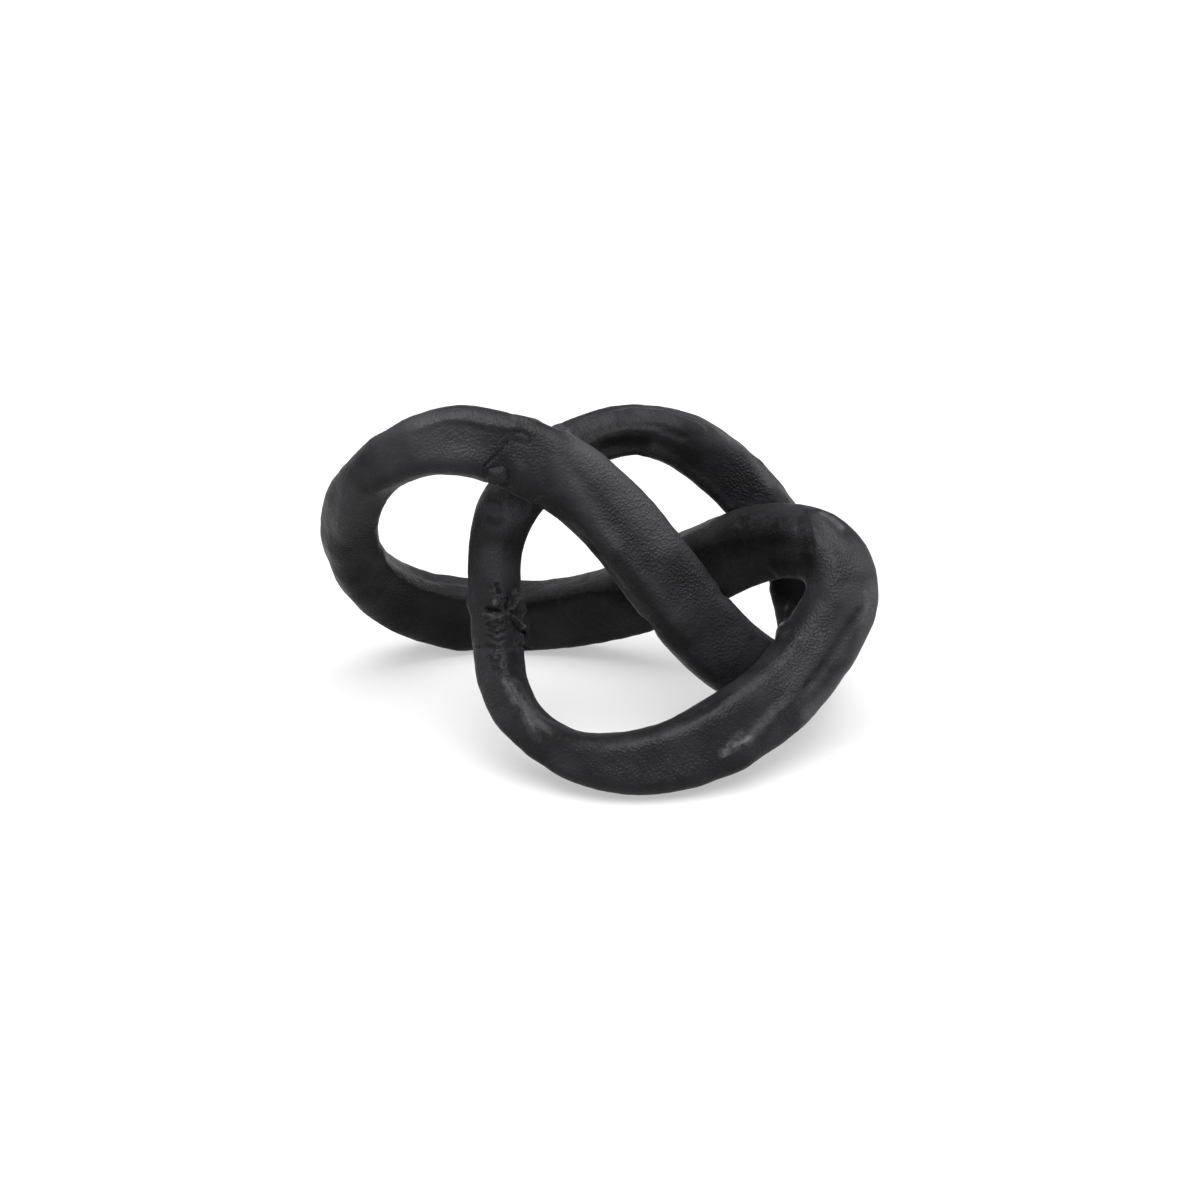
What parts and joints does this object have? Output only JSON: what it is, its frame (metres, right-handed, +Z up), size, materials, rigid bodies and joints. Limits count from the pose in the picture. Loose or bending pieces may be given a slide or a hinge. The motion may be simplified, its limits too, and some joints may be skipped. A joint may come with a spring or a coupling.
{
  "type": "metal knot sculpture",
  "caption": "Cast metal ornament: one heavy soft-square bar bent into a closed open knot with crossing strands, welded where they cross, that rests flat on its underside.",
  "frame": {"origin": "on the floor, under the middle of the knot's box", "axes": "+Z up, +X to the right along the knot's longest extent, +Y from the front to the back"},
  "size_m": [0.1998, 0.1348, 0.1221],
  "materials": {
    "cast_bar": "blackened satin with a fine sand-cast grain",
    "butt_weld": "ground weld, blackened, slightly smoother than the bar",
    "crossing_weld": "unground weld, blackened",
    "dowel_steel": "plain turned steel, hidden in the joints"
  },
  "bodies": {
    "root": {"diagonal_bar": "cast_bar", "riser_bar": "cast_bar", "back_loop_bar": "cast_bar", "front_loop_bar": "cast_bar", "left_loop_bar": "cast_bar", "low_weld": "butt_weld", "rear_weld": "butt_weld", "upright_weld": "butt_weld", "middle_weld": "butt_weld", "shoulder_weld": "butt_weld", "low_dowel": "dowel_steel", "rear_dowel": "dowel_steel", "upright_dowel": "dowel_steel", "middle_dowel": "dowel_steel", "shoulder_dowel": "dowel_steel", "upper_crossing_weld": "crossing_weld", "lower_crossing_weld": "crossing_weld", "rear_crossing_weld": "crossing_weld"}
  },
  "joints": []
}
